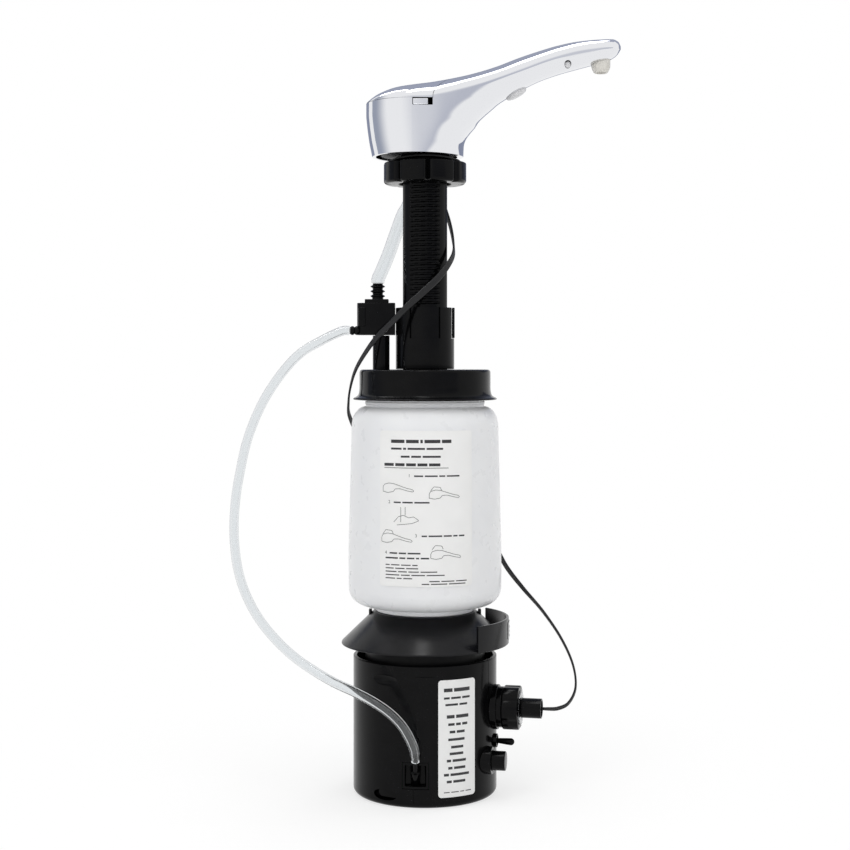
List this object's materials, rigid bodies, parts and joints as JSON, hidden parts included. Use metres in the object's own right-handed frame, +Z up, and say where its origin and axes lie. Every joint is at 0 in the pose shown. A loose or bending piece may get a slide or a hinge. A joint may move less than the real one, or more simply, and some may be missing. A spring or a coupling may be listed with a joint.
{
  "type": "automatic foam soap dispenser",
  "caption": "Counter-mounted touch-free foam soap dispenser: arched chrome spout with a swinging fill lid, threaded shank, bottle, drip cone and a round power and pump module",
  "frame": {"origin": "middle of the module's flat foot, on the shared axis of the module, drip cone, bottle, cap and shank", "axes": "+Z up along the shared axis; +X the way the spout reaches; -Y the front, where the hose plate and the bottle's label face"},
  "size_m": [0.2677, 0.1235, 0.5172],
  "materials": {
    "chrome": "polished",
    "black_plastic": "satin",
    "grey_plastic": "matte",
    "black_rubber": "matte",
    "milky_plastic": "satin, milky",
    "clear_tube": "clear",
    "label": "matte film",
    "cream_plastic": "matte",
    "lens": "polished",
    "steel": "brushed",
    "circuit_board": "coated",
    "cell_wrap": "wrapped steel can"
  },
  "bodies": {
    "dispenser": {"air_riser": "black_plastic", "base_screw_1": "steel", "base_screw_2": "steel", "base_screw_3": "steel", "battery_1": "cell_wrap", "battery_2": "cell_wrap", "battery_3": "cell_wrap", "battery_4": "cell_wrap", "boss_plate": "grey_plastic", "bottle": "milky_plastic", "bottle_cap": "black_plastic", "bottle_label": "label", "button_body": "black_plastic", "cable_plug": "black_plastic", "cable_socket": "black_plastic", "cap_seal": "black_rubber", "cap_socket": "black_plastic", "contact_plate_lower": "steel", "contact_plate_upper": "steel", "control_board": "circuit_board", "drip_cone": "black_plastic", "fill_funnel": "black_plastic", "fill_shank": "black_plastic", "foam_line": "clear_tube", "foam_nozzle": "cream_plastic", "foam_tube": "clear_tube", "guard_label": "label", "hose_plate": "black_plastic", "indicator_light": "lens", "lid_pin": "steel", "mixing_block": "black_plastic", "module_base": "black_plastic", "module_label": "label", "module_sleeve": "black_plastic", "nozzle_screen": "steel", "outlet_fitting": "grey_plastic", "outlet_seal": "black_rubber", "plug_washer": "clear_tube", "pump_body": "grey_plastic", "pump_cover": "grey_plastic", "pump_cup": "black_plastic", "pump_motor": "steel", "sensor_board": "circuit_board", "sensor_cable": "black_rubber", "sensor_lens": "lens", "soap_line": "clear_tube", "soap_tube": "clear_tube", "spout_shell": "chrome", "toggle_body": "black_plastic"},
    "lid": {"fill_lid": "chrome"},
    "latch": {"lid_latch": "chrome"},
    "clamp": {"deck_gasket": "black_rubber"},
    "nut": {"deck_nut": "black_plastic"},
    "tab": {"lock_tab": "black_plastic"},
    "ball": {"riser_ball": "steel"},
    "ring_nut": {"coupling_nut": "black_plastic"},
    "toggle": {"toggle_lever": "black_plastic"},
    "button": {"push_button": "black_plastic"},
    "drive": {"drive_gear": "grey_plastic"},
    "driven": {"driven_gear": "grey_plastic"}
  },
  "joints": [
    {"name": "lid_swing", "type": "hinge", "parent": "dispenser", "child": "lid", "pos_m": [0, 0.026, 0.4724], "axis": [0, 0, 1], "range_deg": [-88, 0]},
    {"name": "latch_press", "type": "slide", "parent": "dispenser", "child": "latch", "axis": [0, 1, 0], "range_m": [0, 0.0025], "stiffness_N_per_m": 600, "springref_m": -0.001},
    {"name": "nut_travel", "type": "slide", "parent": "dispenser", "child": "clamp", "axis": [0, 0, 1], "range_m": [-0.00495, 0]},
    {"name": "nut_turn", "type": "hinge", "parent": "clamp", "child": "nut", "pos_m": [0, 0, 0.4175], "axis": [0, 0, 1], "range_deg": [-540, 0]},
    {"name": "tab_spring", "type": "hinge", "parent": "dispenser", "child": "tab", "pos_m": [0.01945, 0, 0.3117], "axis": [0, 1, 0], "range_deg": [0, 12], "stiffness_Nm_per_rad": 0.4, "springref_deg": -2.86},
    {"name": "ball_lift", "type": "slide", "parent": "dispenser", "child": "ball", "axis": [0, 0, 1], "range_m": [0, 0.002]},
    {"name": "ring_nut_turn", "type": "hinge", "parent": "dispenser", "child": "ring_nut", "pos_m": [0.05409, -0.0115, 0.0595], "axis": [0.9781, -0.2079, 0], "range_deg": [0, 60]},
    {"name": "toggle_throw", "type": "hinge", "parent": "dispenser", "child": "toggle", "pos_m": [0.04708, -0.01226, 0.037], "axis": [0, 0, 1], "range_deg": [0, 20]},
    {"name": "button_press", "type": "slide", "parent": "dispenser", "child": "button", "axis": [-0.9781, 0.2079, 0], "range_m": [0, 0.003], "stiffness_N_per_m": 400, "springref_m": -0.001},
    {"name": "drive_spin", "type": "hinge", "parent": "dispenser", "child": "drive", "pos_m": [-0.006, -0.005, 0.1019], "axis": [0, 0, 1], "continuous": true},
    {"name": "driven_spin", "type": "hinge", "parent": "dispenser", "child": "driven", "pos_m": [0.006, -0.005, 0.1019], "axis": [0, 0, 1], "continuous": true}
  ],
  "couplings": [
    {"joint": "nut_turn", "follows": "nut_travel", "rad_per_m": 1904},
    {"joint": "driven_spin", "follows": "drive_spin", "ratio": -1}
  ]
}
